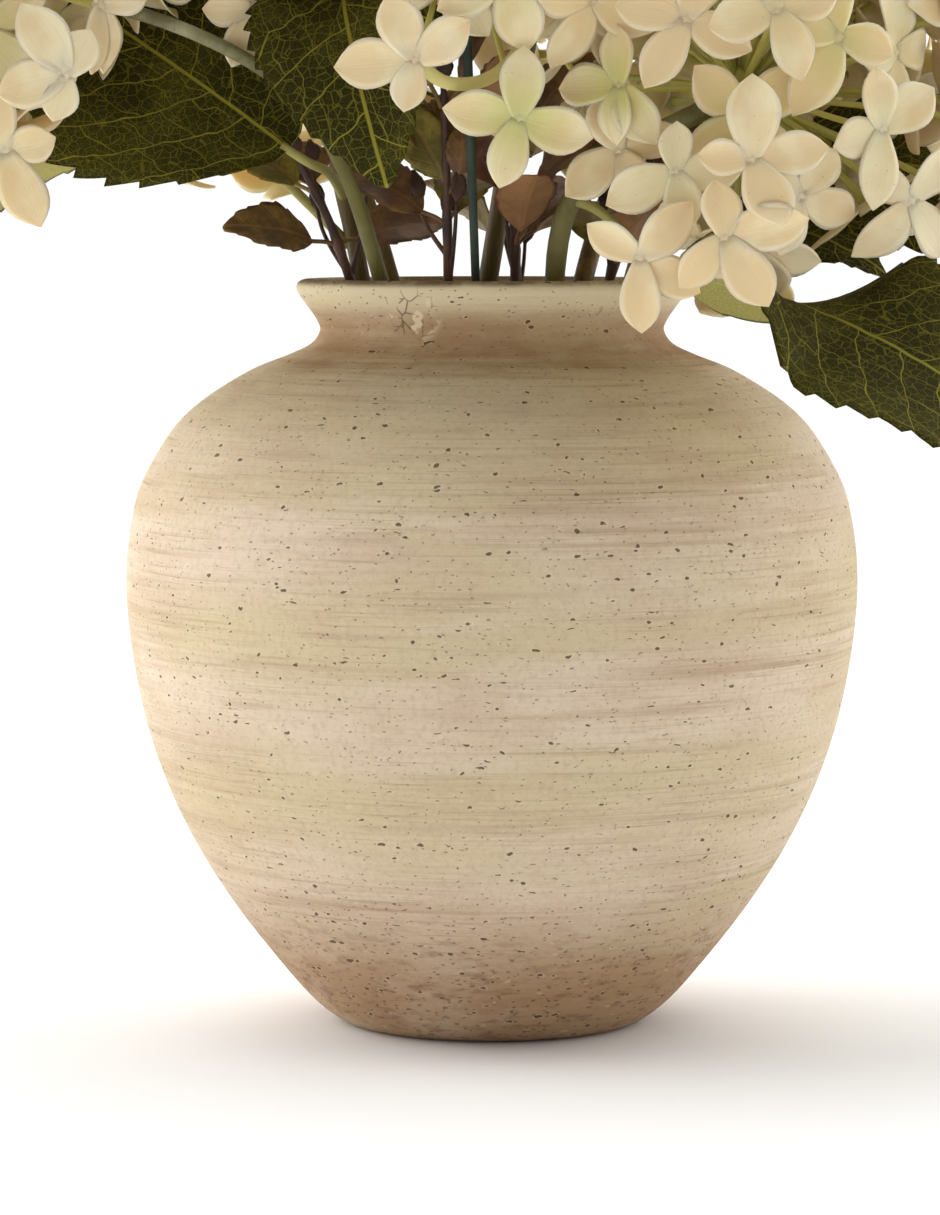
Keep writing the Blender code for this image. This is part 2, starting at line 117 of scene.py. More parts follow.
SPRIG_LEAF_WIDTH = 0.017
SPRIG_LEAF_TILT = 1.2
SPRIG_PETIOLE = 0.006
MOUTH_LOW, MOUTH_HIGH = 0.197, 0.212

# ---------------- shapes


def unit(v):
    v = np.asarray(v, float)
    return v / np.linalg.norm(v)


def curve_through(points, per_span):
    """Points along a Catmull-Rom curve through the given ones."""
    points = np.asarray(points, float)
    ends = np.vstack([2 * points[0] - points[1], points, 2 * points[-1] - points[-2]])
    t = (np.arange(per_span) / per_span)[:, None]
    spans = []
    for before, start, end, after in zip(ends, ends[1:], ends[2:], ends[3:]):
        spans.append(0.5 * (2 * start + (end - before) * t
                            + (2 * before - 5 * start + 4 * end - after) * t ** 2
                            + (3 * start - before - 3 * end + after) * t ** 3))
    return np.vstack([*spans, points[-1]])


def bezier(a, b, c, d, count):
    t = np.linspace(0, 1, count)[:, None]
    a, b, c, d = (np.asarray(p, float) for p in (a, b, c, d))
    return a * (1 - t) ** 3 + 3 * b * t * (1 - t) ** 2 + 3 * c * t ** 2 * (1 - t) + d * t ** 3


def ring_quads(rows, columns):
    """Quads between neighbouring rings of points, where a ring's last point is next to its first."""
    i, j = np.meshgrid(np.arange(rows - 1), np.arange(columns), indexing="ij")
    k = (j + 1) % columns
    quads = np.stack([i * columns + j, i * columns + k, (i + 1) * columns + k,
                      (i + 1) * columns + j], axis=-1)
    return quads.reshape(-1, 4).tolist()


class Shape:
    """Collects points, faces and a few values at each point, and makes them one object."""

    def __init__(self):
        self.points, self.faces, self.values, self.count = [], [], {}, 0

    def add(self, points, faces, **values):
        points = np.asarray(points, float).reshape(-1, 3)
        self.faces += [[i + self.count for i in face] for face in faces]
        self.points.append(points)
        self.count += len(points)
        for key, value in values.items():
            value = np.asarray(value, float)
            wide = value.ndim and value.shape[-1] == 3
            size = (len(points), 3) if wide else (len(points),)
            self.values.setdefault(key, []).append(np.broadcast_to(value, size))

    def add_rings(self, rings, start=None, end=None, **values):
        """Closed rings of points, joined in order, with a point that closes each end."""
        rows, columns = rings.shape[:2]
        points = rings.reshape(-1, 3)
        faces = ring_quads(rows, columns)
        first = rings[0].mean(0) if start is None else start
        last = rings[-1].mean(0) if end is None else end
        size = len(points)
        faces += [[(j + 1) % columns, j, size] for j in range(columns)]
        base = (rows - 1) * columns
        faces += [[base + j, base + (j + 1) % columns, size + 1] for j in range(columns)]
        full = {}
        for key, value in values.items():
            value = np.asarray(value, float)
            if value.ndim > 1:
                flat = value.reshape(size, -1)
                value = np.vstack([flat, flat[:columns].mean(0), flat[-columns:].mean(0)])
                value = value[:, 0] if value.shape[1] == 1 else value
            full[key] = value
        self.add(np.vstack([points, first, last]), faces, **full)

    def make(self, name, material, node):
        """The object, riding on the root body in place of its CAD node."""
        mesh = bpy.data.meshes.new(name)
        mesh.from_pydata(np.vstack(self.points).tolist(), [], self.faces)
        for key, parts in self.values.items():
            joined = np.concatenate(parts)
            kind = "FLOAT_VECTOR" if joined.ndim == 2 else "FLOAT"
            stored = mesh.attributes.new(key, kind, "POINT")
            stored.data.foreach_set("vector" if joined.ndim == 2 else "value", joined.ravel())
        mesh.shade_smooth()
        mesh.materials.append(material)
        obj = bpy.data.objects.new(name, mesh)
        bpy.context.scene.collection.objects.link(obj)
        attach(obj, "root")
        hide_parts(node)


def frames_along(path):
    """Unit tangents, and two directions square to them that don't spin along the path."""
    tangents = np.gradient(path, axis=0)
    tangents /= np.linalg.norm(tangents, axis=1)[:, None]
    helper = np.eye(3)[np.argmin(np.abs(tangents[0]))]
    side = unit(np.cross(tangents[0], helper))
    sides = []
    for tangent in tangents:
        side = unit(side - tangent * side.dot(tangent))
        sides.append(side)
    sides = np.array(sides)
    return tangents, sides, np.cross(tangents, sides)


def tube(path, radii, around):
    """Rings of a round tube along a path."""
    path = np.asarray(path, float)
    _, side, up = frames_along(path)
    angles = np.linspace(0, math.tau, around, endpoint=False)
    circle = (np.cos(angles)[None, :, None] * side[:, None]
              + np.sin(angles)[None, :, None] * up[:, None])
    return path[:, None] + circle * np.broadcast_to(radii, len(path))[:, None, None]


# ---------------- materials


class Look:
    """A material's node tree, built with short calls. Each call returns an output socket."""

    def __init__(self, name, roughness=0.6, specular=0.4):
        self.material = bpy.data.materials.new(name)
        self.material.use_nodes = True
        self.tree = self.material.node_tree
        self.shader = self.tree.nodes["Principled BSDF"]
        self.shader.inputs["Roughness"].default_value = roughness
        self.shader.inputs["Specular IOR Level"].default_value = specular

    def add(self, kind, inputs=(), out=0, **settings):
        node = self.tree.nodes.new(f"ShaderNode{kind}")
        for key, value in settings.items():
            setattr(node, key, value)
        for key, value in dict(inputs).items():
            if isinstance(value, bpy.types.NodeSocket):
                self.tree.links.new(value, node.inputs[key])
            else:
                node.inputs[key].default_value = value
        return node.outputs[out]

    def math(self, operation, a, b=0.0):
        return self.add("Math", {0: a, 1: b}, operation=operation)

    def times(self, a, b):
        return self.math("MULTIPLY", a, b)

    def plus(self, a, b):
        return self.math("ADD", a, b)

    def minus(self, a, b):
        return self.math("SUBTRACT", a, b)

    def larger(self, a, b):
        return self.math("MAXIMUM", a, b)

    def size(self, a):
        return self.math("ABSOLUTE", a)

    def near_line(self, value, spacing):
        """0.5 on each line where value is a multiple of spacing, and 0 halfway between them."""
        share = self.math("FRACT", self.math("DIVIDE", value, spacing))
        return self.size(self.minus(share, 0.5))

    def object_space(self, scale=(1, 1, 1)):
        return self.scaled(self.add("TexCoord", out="Object"), scale)

    def value(self, name):
        return self.add("Attribute", attribute_name=name, out="Fac")

    def vector(self, name):
        return self.add("Attribute", attribute_name=name, out="Vector")

    def part(self, vector, axis):
        return self.add("SeparateXYZ", {0: vector}, out=axis)

    def joined(self, x, y, z):
        return self.add("CombineXYZ", {0: x, 1: y, 2: z})

    def scaled(self, vector, scale):
        return self.add("Mapping", {"Vector": vector, "Scale": scale})

    def noise(self, vector, scale, detail=3.0, roughness=0.5, distortion=0.0):
        return self.add("TexNoise", {"Vector": vector, "Scale": scale, "Detail": detail,
                                     "Roughness": roughness, "Distortion": distortion})

    def cells(self, vector, scale, feature="F1"):
        return self.add("TexVoronoi", {"Vector": vector, "Scale": scale}, feature=feature,
                        out="Distance")

    def band(self, value, low, high, start=0.0, end=1.0):
        """start below low, end above high, and a smooth change between them."""
        return self.add("MapRange", {"Value": value, "From Min": low, "From Max": high,
                                     "To Min": start, "To Max": end},
                        interpolation_type="SMOOTHSTEP")

    def mix(self, share, a, b):
        a, b = ((*v, 1.0) if isinstance(v, tuple) else v for v in (a, b))
        return self.add("Mix", {0: share, 6: a, 7: b}, out=2, data_type="RGBA")

    def bump(self, height, distance, strength):
        return self.add("Bump", {"Height": height, "Distance": distance, "Strength": strength})

    def set(self, name, socket):
        self.tree.links.new(socket, self.shader.inputs[name])


def colour(red, green, blue):
    """A colour as the eye reads it (0 to 255), in linear light."""
    return tuple(c / 12.92 if c <= 0.04045 else ((c + 0.055) / 1.055) ** 2.4
                 for c in (red / 255, green / 255, blue / 255))


# ---------------- vase

# (radius, height) in millimetres, from the foot up the outer side to the lip.
VASE_OUTLINE = [
    (41.0, 0.6), (43.5, 1.8), (49.0, 6.1), (56.4, 14.3), (69.3, 30.8), (79.9, 47.2), (88.0, 63.6),
    (93.8, 80.0), (97.5, 96.4), (99.6, 112.8), (99.8, 126.0), (98.3, 138.0), (95.4, 148.5),
    (87.5, 162.0), (79.3, 170.2), (66.3, 178.4), (55.6, 182.8), (49.4, 185.8), (46.9, 189.4),
    (47.7, 192.3), (49.7, 195.3), (52.0, 198.4), (53.2, 200.6), (52.9, 202.4), (51.2, 203.4),
    (48.9, 203.3), (47.4, 201.8), (45.8, 198.6), (42.6, 194.0), (41.2, 190.0), (43.0, 184.0),
    (51.0, 177.2), (73.0, 166.0), (88.0, 147.0), (93.0, 121.0), (86.0, 78.0), (69.0, 44.0),
    (48.0, 15.0), (36.0, 8.6), (18.0, 8.1),
]
VASE_AROUND = 256


def vase_look():
    """Brushed cream slip over brown clay, with pits, a stained neck and foot, and a cracked lip."""
    look = Look("stoneware", roughness=0.78, specular=0.30)
    place = look.object_space()
    height = look.part(place, 2)
    streak = look.noise(look.object_space((8, 8, 380)), 1.0, 7.0, 0.62, 0.5)
    fine_streak = look.noise(look.object_space((26, 26, 1700)), 1.0, 5.0, 0.65, 0.3)
    broad = look.noise(look.object_space((5, 5, 30)), 1.0, 4.0, 0.55, 0.8)
    cloud = look.noise(look.object_space((20, 20, 46)), 1.0, 6.0, 0.65)
    grain = look.noise(place, 620.0, 4.0, 0.65)
    patches = look.noise(look.object_space((9, 9, 30)), 1.7, 3.0, 0.5, 0.6)
    brushed = look.times(look.band(streak, 0.46, 0.70),
                        look.band(patches, 0.40, 0.60, 0.15, 1.0))
    pale, khaki, tan = colour(223, 204, 179), colour(212, 195, 158), colour(202, 177, 148)
    base = look.mix(look.band(broad, 0.40, 0.60), pale, khaki)
    base = look.mix(look.band(cloud, 0.42, 0.68, 0.0, 0.55), base, tan)
    base = look.mix(look.times(brushed, 0.50), base, colour(174, 145, 114))
    thin = look.times(look.band(fine_streak, 0.50, 0.76),
                     look.band(patches, 0.36, 0.62, 0.30, 0.9))
    base = look.mix(look.times(thin, 0.62), base, colour(146, 116, 92))
    base = look.mix(look.band(grain, 0.44, 0.72, 0.0, 0.26), base, colour(168, 140, 110))

    wash = look.plus(look.times(streak, 0.010), look.times(cloud, 0.014))
    foot = look.band(look.plus(height, wash), 0.028, 0.060, 0.80, 0.0)
    groove = look.times(look.band(look.plus(height, wash), 0.188, 0.199),
                       look.band(height, 0.190, 0.1985, 0.85, 0.0))
    stain = look.times(look.larger(foot, groove),
                      look.band(cloud, 0.32, 0.56, 0.60, 1.0))
    base = look.mix(stain, base, colour(162, 126, 88))
    scabs = look.noise(look.object_space((150, 150, 420)), 1.0, 5.0, 0.65)
    mottled = look.times(foot, look.band(scabs, 0.48, 0.68, 0.0, 0.70))
    base = look.mix(mottled, base, colour(126, 90, 70))
    lip = look.times(look.band(height, 0.1945, 0.198), 0.60)
    base = look.mix(lip, base, colour(226, 212, 176))
    edge = look.times(look.band(height, 0.2014, 0.2029), look.band(cloud, 0.38, 0.56))
    base = look.mix(look.times(edge, 0.8), base, colour(104, 78, 52))

    shake = look.add("TexNoise", {"Vector": place, "Scale": 420.0}, out="Color")
    shake = look.add("VectorMath", {0: shake, 1: (0.5, 0.5, 0.5)}, operation="SUBTRACT")
    shaken = look.add("VectorMath", {0: shake, 1: (0.0026, 0.0026, 0.0018), 2: place},
                      operation="MULTIPLY_ADD")
    pit_size = look.noise(place, 60.0, 2.0)
    pits = look.minus(look.cells(look.scaled(shaken, (0.8, 0.8, 1.5)), 185.0),
                     look.times(pit_size, 0.14))
    dashes = look.cells(look.scaled(shaken, (0.30, 0.30, 1.7)), 230.0)
    specks = look.cells(look.scaled(shaken, (0.7, 0.7, 1.4)), 520.0)
    pit = look.band(pits, 0.015, 0.055, 1.0, 0.0)
    dash = look.band(dashes, 0.045, 0.075, 1.0, 0.0)
    low = look.band(height, 0.010, 0.060, 0.18, 0.11)
    speck = look.band(look.minus(specks, low), 0.0, 0.05, 1.0, 0.0)
    crazed = look.band(look.cells(look.object_space((1, 1, 0.8)), 210.0, "DISTANCE_TO_EDGE"),
                       0.0, 0.045, 1.0, 0.0)
    apart = look.add("VectorMath", {0: place, 1: (-0.0215, -0.0450, 0.1945)}, operation="DISTANCE",
                     out="Value")
    crazed = look.times(crazed, look.band(apart, 0.005, 0.0105, 0.8, 0.0))
    crazed = look.times(crazed, look.band(look.noise(place, 240.0, 2.0), 0.46, 0.54))
    chips = look.times(look.band(apart, 0.005, 0.0095, 0.8, 0.0),
                      look.band(look.noise(place, 190.0, 2.0), 0.54, 0.60))
    base = look.mix(chips, base, colour(236, 218, 184))
    rings = look.times(look.band(pits, 0.045, 0.075),
                      look.band(pits, 0.085, 0.115, 1.0, 0.0))
    base = look.mix(look.times(rings, 0.25), base, colour(238, 224, 196))
    spots = look.larger(look.larger(pit, dash), look.times(speck, 0.60))
    spots = look.larger(spots, crazed)
    base = look.mix(look.times(spots, 0.85), base, colour(82, 62, 42))
    look.set("Base Color", base)

    relief = look.plus(look.times(fine_streak, 0.30),
                       look.times(grain, 0.25))
    relief = look.minus(relief, spots)
    look.set("Normal", look.bump(relief, 0.0004, 0.7))
    look.set("Roughness", look.band(streak, 0.35, 0.7, 0.66, 0.88))
    return look.material


def make_vase():
    profile = curve_through([(r * MM, 0, z * MM) for r, z in VASE_OUTLINE], 5)
    angles = np.linspace(0, math.tau, VASE_AROUND, endpoint=False)
    wobble = 1 + 0.0015 * np.sin(2 * angles + 0.7) + 0.0008 * np.sin(5 * angles)
    radius = profile[:, 0, None] * wobble
    rings = np.stack([radius * np.cos(angles), radius * np.sin(angles),
                      np.broadcast_to(profile[:, 2, None], radius.shape)], axis=-1)
    shape = Shape()
    shape.add_rings(rings, start=(0, 0, 0.0012), end=(0, 0, FLOOR_THICKNESS))
    shape.make("thrown_vase", vase_look(), "vase")


# ---------------- stems


STEM_STEPS = 10
STEM_UNEVENNESS = 0.035


def foot_of(neck):
    """Where a stem stands on the vase's floor: across from its neck point, turned round the axis."""
    x, y = np.array(neck) * FOOT_SHARE
    cos, sin = math.cos(FOOT_TURN), math.sin(FOOT_TURN)
    return np.array([x * cos - y * sin, x * sin + y * cos, FLOOR_THICKNESS + 0.001])


def stem_path(neck, extra, end):
    """From the vase's floor through the neck point and the extra points to the end."""
    through = (*neck, NECK_Z)
    above = curve_through([through, *extra, end], STEM_STEPS)
    below = np.linspace(foot_of(neck), through, 6)[:-1]
    return np.vstack([below, above])


def head_stem_path(name):
    centre, _, neck, extra, _ = HEADS[name]
    return stem_path(neck, extra, centre)


def along(path, share):
    """The point at this share of a path's length, and the path's direction there."""
    steps = np.linalg.norm(np.diff(path, axis=0), axis=1)
    reached = np.concatenate([[0], np.cumsum(steps)]) / steps.sum()
    point = np.array([np.interp(share, reached, path[:, k]) for k in range(3)])
    i = min(int(np.searchsorted(reached, share)), len(path) - 1)
    return point, unit(path[i] - path[max(0, i - 1)])


def at_height(path, height):
    """The point of a rising path at this height, and the path's direction there."""
    point = np.array([np.interp(height, path[:, 2], path[:, k]) for k in range(3)])
    i = min(int(np.searchsorted(path[:, 2], height)), len(path) - 1)
    return point, unit(path[i] - path[i - 1])


def stem_look(name, base, shade, patch, low=None):
    """Mottled, fibrous plastic, which can take another colour low down, near the vase's mouth."""
    look = Look(name, roughness=0.55, specular=0.4)
    place = look.object_space()
    fibre = look.noise(look.object_space((900, 900, 60)), 1.0, 4.0, 0.6)
    mottle = look.noise(place, 110.0, 4.0, 0.6)
    mixed = look.mix(look.band(mottle, 0.38, 0.62), base, shade)
    mixed = look.mix(look.band(look.noise(place, 45.0, 3.0), 0.55, 0.72), mixed, patch)
    if low:
        wander = look.times(look.noise(place, 60.0, 3.0), 0.030)
        height = look.plus(look.part(place, 2), wander)
        mixed = look.mix(look.band(height, 0.248, 0.280, 0.85, 0.0), mixed, low)
    mixed = look.mix(look.band(fibre, 0.50, 0.75, 0.0, 0.5), mixed, shade)
    look.set("Base Color", mixed)
    bumps = look.plus(fibre, look.times(mottle, 0.8))
    look.set("Normal", look.bump(bumps, 0.0004, 0.8))
    return look.material


# name: (base, shade, patches, and for some the colour low down), 0 to 255.
STEM_COLOURS = {
    "green_stem": ((108, 104, 44), (72, 70, 26), (134, 112, 60), (102, 84, 38)),
    "olive_stem": ((122, 98, 48), (84, 62, 28), (150, 132, 74)),
    "grey_stem": ((130, 128, 88), (94, 90, 56), (160, 156, 120), (106, 100, 42)),
    "green_wire": ((44, 62, 48), (34, 48, 38), (58, 74, 56)),
    "brown_stem": ((82, 54, 40), (58, 38, 28), (104, 72, 50)),
}

STEM_LOOKS = {"front": "green_wire", "left": "grey_stem", "left_rear": "green_stem",
              "right_front": "grey_stem", "top": "green_stem", "right": "olive_stem",
              "rear_right": "olive_stem", "rear_left": "green_stem"}


def make_stems(looks):
    rng = np.random.default_rng(3)
    for name, (*_, radius) in HEADS.items():
        path = head_stem_path(name)
        swell = 1 + STEM_UNEVENNESS * rng.standard_normal(len(path)).cumsum()
        radii = radius * np.clip(swell, 0.88, 1.15)
        radii[-1] = radius * 0.9
        shape = Shape()
        shape.add_rings(tube(path, radii, 20))
        shape.make(f"stalk_{name}", looks[STEM_LOOKS[name]], f"stem_{name}")


# ---------------- large leaves

BLADE_THICKNESS = 0.0005
TURN_SHARE = 0.36
ROWS_PER_TOOTH = 6
VEIN_SPACING = 0.0125
CROSS_VEIN_SPACING = 0.0085
THREAD_RADIANS_PER_METRE = 9500.0
PETIOLE_RADIUS = 0.0013
PETIOLE_REACH = 0.35
SMALL_PETIOLE_RADIUS = 0.0006

# How a blade is cut: (teeth down each side, points across, half its width at its base).
LARGE_CUT = (15, 21, PETIOLE_RADIUS)
SMALL_CUT = (7, 11, SMALL_PETIOLE_RADIUS)
TIP_BUD_CUT = (4, 7, 0.0007)
SIDE_BUD_CUT = (4, 7, SMALL_PETIOLE_RADIUS)


def leaf_outline(u):
    """Half the width of an ovate blade, as a share, from its rounded base to its pointed tip."""
    return np.sin(np.pi * np.clip(u, 0, 1) ** 0.84) ** 0.94


def leaf_look():
    """Printed cloth: side veins that curve to the tip, cross veins, a fine net and a weave."""
    look = Look("printed_leaf", roughness=0.75, specular=0.12)
    spot = look.vector("blade")
    s, t, under = (look.part(spot, k) for k in range(3))
    flat = look.joined(s, t, 0.0)
    wander = look.minus(look.noise(flat, 70.0, 2.0), 0.5)
    shift = look.times(wander, 0.008)
    far = look.size(t)
    bow = look.times(look.times(far, far), 7.0)
    run = look.minus(look.plus(s, shift), look.times(far, 0.50))
    run = look.minus(run, bow)
    run = look.plus(run, look.times(look.math("SIGN", t), 0.0028))
    side_vein = look.band(look.near_line(run, VEIN_SPACING), 0.474, 0.493)
    rib = look.band(far, 0.0003, 0.0007, 1.0, 0.0)
    row = look.math("FLOOR", look.math("DIVIDE", run, VEIN_SPACING))
    step = look.plus(look.plus(far, look.times(row, 0.0037)), look.times(wander, 0.010))
    cross = look.band(look.near_line(step, CROSS_VEIN_SPACING), 0.474, 0.494, 0.0, 0.70)
    net = look.band(look.cells(flat, 380.0, "DISTANCE_TO_EDGE"), 0.010, 0.055, 0.40, 0.0)
    veins = look.larger(look.larger(side_vein, rib),
                      look.larger(cross, net))
    warp = look.math("SINE", look.times(s, THREAD_RADIANS_PER_METRE))
    weft = look.math("SINE", look.times(t, THREAD_RADIANS_PER_METRE))
    grain = look.noise(flat, 2200.0, 2.0, 0.7)
    weave = look.plus(look.times(look.times(warp, weft), 0.10), grain)
    weave = look.band(weave, 0.46, 0.62)
    patch = look.noise(flat, 40.0, 3.0)
    edge = look.band(far, 0.012, 0.034, 0.0, 0.55)
    bright = look.larger(edge, look.band(patch, 0.45, 0.68, 0.0, 0.7))
    dark = look.mix(bright, colour(34, 33, 5), colour(54, 52, 12))
    light = look.mix(bright, colour(66, 62, 14), colour(108, 102, 36))
    face = look.mix(weave, dark, light)
    top = look.mix(look.times(veins, 0.85), face, colour(148, 140, 50))
    pale = look.mix(weave, colour(156, 150, 84), colour(182, 174, 108))
    pale = look.mix(look.times(veins, 0.30), pale, colour(196, 190, 136))
    look.set("Base Color", look.mix(under, top, pale))
    height = look.minus(look.times(grain, 0.25),
                       look.times(veins, 0.8))
    look.set("Normal", look.bump(height, 0.0004, 0.7))
    return look.material


def add_blade(shape, base, tip, facing, form, cut, rng, turn=0, **more):
    """A thin serrated blade; form is (width, arch, fold), and turn twists its base, in degrees.

    The blade attribute holds (distance along, distance across, 1 on the under side).
    """
    base, tip, facing = np.array(base), np.array(tip), unit(facing)
    width, arch, fold = form
    teeth, across, start_radius = cut
    crest = (base + tip) / 2 + facing * arch * 2
    u = np.linspace(0.0, 0.985, teeth * ROWS_PER_TOOTH)
    middle = (base * ((1 - u) ** 2)[:, None] + crest * (2 * u * (1 - u))[:, None]
              + tip * (u ** 2)[:, None])
    length = np.linalg.norm(np.diff(middle, axis=0), axis=1).sum()
    tangent = np.gradient(middle, axis=0)
    tangent /= np.linalg.norm(tangent, axis=1)[:, None]
    side = np.cross(tangent, facing)
    side /= np.linalg.norm(side, axis=1)[:, None]
    normal = np.cross(side, tangent)
    turned = np.radians(turn) * np.clip(1 - u / TURN_SHARE, 0, 1)[:, None]
    side, normal = (side * np.cos(turned) - normal * np.sin(turned),
                    normal * np.cos(turned) + side * np.sin(turned))
    half = np.maximum(start_radius, width / 2 * leaf_outline(0.02 + u * 0.96))
    saw = (u * teeth) % 1.0
    bite = 0.045 * width * (saw - 0.5) * np.clip(4 * u, 0, 1) * np.clip(6 * (1 - u), 0, 1)
    v = np.linspace(-1, 1, across)
    jag = np.abs(v) ** 6
    spread = v[None, :] * half[:, None] + np.sign(v)[None, :] * jag[None, :] * bite[:, None]
    drop = rng.uniform(0.6, 1.4, 2)
    wave = (0.020 * width * np.sin(u * 17 * drop[0] + 1.0)[:, None] * np.abs(v)[None, :] ** 3
            + 0.015 * width * np.sin(u * 9 * drop[1])[:, None] * v[None, :])
    vein = ((u[:, None] * length - 0.62 * np.abs(spread)) / VEIN_SPACING) % 1.0
    quilt = -0.00030 * np.exp(-(((vein - 0.5) % 1.0 - 0.5) / 0.16) ** 2)
    rise = fold * np.abs(spread) + wave + quilt
    thick = BLADE_THICKNESS / 2 + 0.0006 * np.exp(-(spread / 0.0008) ** 2) * (1 - 0.8 * u)[:, None]
    thick = thick * np.sqrt(1 - np.minimum(1, np.abs(v)) ** 8)[None, :]
    centre = middle[:, None] + side[:, None] * spread[..., None]
    upper = centre + normal[:, None] * (rise + thick)[..., None]
    under = (centre + normal[:, None] * (rise - thick)[..., None])[:, -2:0:-1]
    away = np.broadcast_to(u[:, None] * length, spread.shape)
    zeros = np.zeros_like(spread)
    top_values = np.stack([away, spread, zeros], axis=-1)
    under_values = np.stack([away, spread, zeros + 1], axis=-1)[:, -2:0:-1]
    values = np.concatenate([top_values, under_values], axis=1)
    shape.add_rings(np.concatenate([upper, under], axis=1), end=tip, blade=values, **more)


def petiole_path(root, base, crest):
    """From the stem to just inside the blade's base, which it meets in line with the blade."""
    root, base = np.array(root), np.array(base)
    reach = np.linalg.norm(base - root)
    leave = unit(crest - base)
    return bezier(root, root * 0.6 + base * 0.4 + np.array([0, 0, 0.15 * reach]),
                  base - leave * PETIOLE_REACH * reach, base + leave * 0.002, 14)


def beside(point, direction, towards, distance):
    """A point off the axis of a stem, on the side that looks towards another point."""
    out = np.array(towards) - point
    out -= out.dot(direction) * direction
    return point + unit(out) * distance


def make_leaves(looks):
    rng = np.random.default_rng(11)
    for name, (stem, share, base, tip, facing, width, arch, fold, turn) in LEAVES.items():
        point, direction = along(head_stem_path(stem), share)
        root = beside(point, direction, base, HEADS[stem][-1] * 0.6)
        crest = (np.array(base) + np.array(tip)) / 2 + unit(facing) * arch * 2
        shape = Shape()
        path = petiole_path(root, base, crest)
        radii = np.linspace(PETIOLE_RADIUS * 1.1, PETIOLE_RADIUS * 0.9, len(path))
        shape.add_rings(tube(path, radii, 12), blade=(0.0, 0.0, 0.8))
        add_blade(shape, base, tip, facing, (width, arch, fold), LARGE_CUT, rng, turn)
        shape.make(f"blade_{name}", looks["leaf"], f"leaf_{name}")


# ---------------- sprigs


SPRIG_VEIN_SPACING = 0.0036


def sprig_leaf_look():
    """Brown, olive or rust plastic, by each leaf's tone, with a midrib and side veins."""
    look = Look("brown_leaf", roughness=0.55, specular=0.35)
    spot = look.vector("blade")
    s, t, under = (look.part(spot, k) for k in range(3))
    tone = look.value("tone")
    far = look.size(t)
    along_vein = look.minus(s, look.times(far, 0.9))
    off = look.near_line(along_vein, SPRIG_VEIN_SPACING)
    veins = look.larger(look.band(off, 0.40, 0.48, 0.0, 0.5),
                      look.band(far, 0.0003, 0.0008, 1.0, 0.0))
    mottle = look.noise(look.object_space(), 160.0, 4.0, 0.6)
    brown = look.mix(look.band(mottle, 0.40, 0.62), colour(96, 66, 42), colour(128, 94, 56))
    olive = look.mix(look.band(mottle, 0.40, 0.62), colour(92, 84, 30), colour(136, 120, 48))
    red = look.mix(look.band(mottle, 0.40, 0.62), colour(112, 62, 44), colour(142, 88, 60))
    base = look.mix(look.band(tone, 0.30, 0.45), olive, brown)
    base = look.mix(look.band(tone, 0.70, 0.85), base, red)
    base = look.mix(look.times(veins, 0.35), base, colour(142, 104, 66))
    base = look.mix(look.times(under, 0.4), base, colour(168, 140, 92))
    look.set("Base Color", base)
    look.set("Normal", look.bump(look.minus(mottle, veins), 0.0003, 0.5))
    return look.material


# Each leaf's colour, from olive (0) through brown (0.5) to rust (1).
SPRIG_TONES = {
    "centre": (0.52, 0.20, 0.34, 0.50, 0.30, 0.60),
    "left": (0.40, 0.55, 0.10, 0.50),
    "centre_right": (0.95, 0.60, 0.80, 0.55, 0.95, 0.70),
    "right": (0.30, 0.95, 0.35, 0.55),
    "rear": (0.10, 0.40, 0.20, 0.35),
}


# Two upright leaves that stand behind the centre sprig: (base, tip, width, colour).
UPRIGHT_LEAVES = [
    ((-0.0131, -0.0335, 0.2305), (-0.0251, -0.0310, 0.2516), 0.0145, 0.30),
    ((-0.0092, -0.0345, 0.2310), (-0.0076, -0.0330, 0.2463), 0.0085, 0.55),
]


def add_small_leaf(shape, root, base, tip, facing, form, rng, tone):
    stalk = petiole_path(root, base, (np.array(base) + tip) / 2)
    shape.add_rings(tube(stalk, SMALL_PETIOLE_RADIUS, 10), blade=(0, 0, 0), tone=tone)
    add_blade(shape, base, tip, facing, form, SMALL_CUT, rng, tone=tone)


def add_upright_leaf(shape, path, leaf):
    base, tip, width, tone = leaf
    root, _ = at_height(path, base[2] - 0.006)
    add_small_leaf(shape, root, base, tip, (0.1, -1.0, 0.2), (width, 0.0015, 0.2),
                   np.random.default_rng(5), tone)


def add_side_twigs(shape, path, rng):
    """Thin side stems that leave the sprig at the vase's mouth and end in small buds."""
    for _ in range(3):
        start, _ = at_height(path, rng.uniform(MOUTH_LOW, MOUTH_HIGH))
        turn = rng.uniform(0, math.tau)
        rise = rng.uniform(0.014, 0.030)
        out = np.array([math.cos(turn), 0.6 * math.sin(turn), 0.0]) * rng.uniform(0.004, 0.009)
        end = start + out + (0, 0, rise)
        twig = bezier(start, start + out * 0.4 + (0, 0, rise * 0.3),
                      start + out * 0.9 + (0, 0, rise * 0.6), end, 10)
        shape.add_rings(tube(twig, np.linspace(0.0007, 0.0005, 10), 8), blade=(0, 0, 0), tone=0.0)
        bud = end + unit(twig[-1] - twig[-2]) * rng.uniform(0.006, 0.009)
        add_blade(shape, end, bud, (0.3, -0.9, 0.3), (0.0045, 0.0008, 0.4), SIDE_BUD_CUT, rng,
                  tone=0.0)


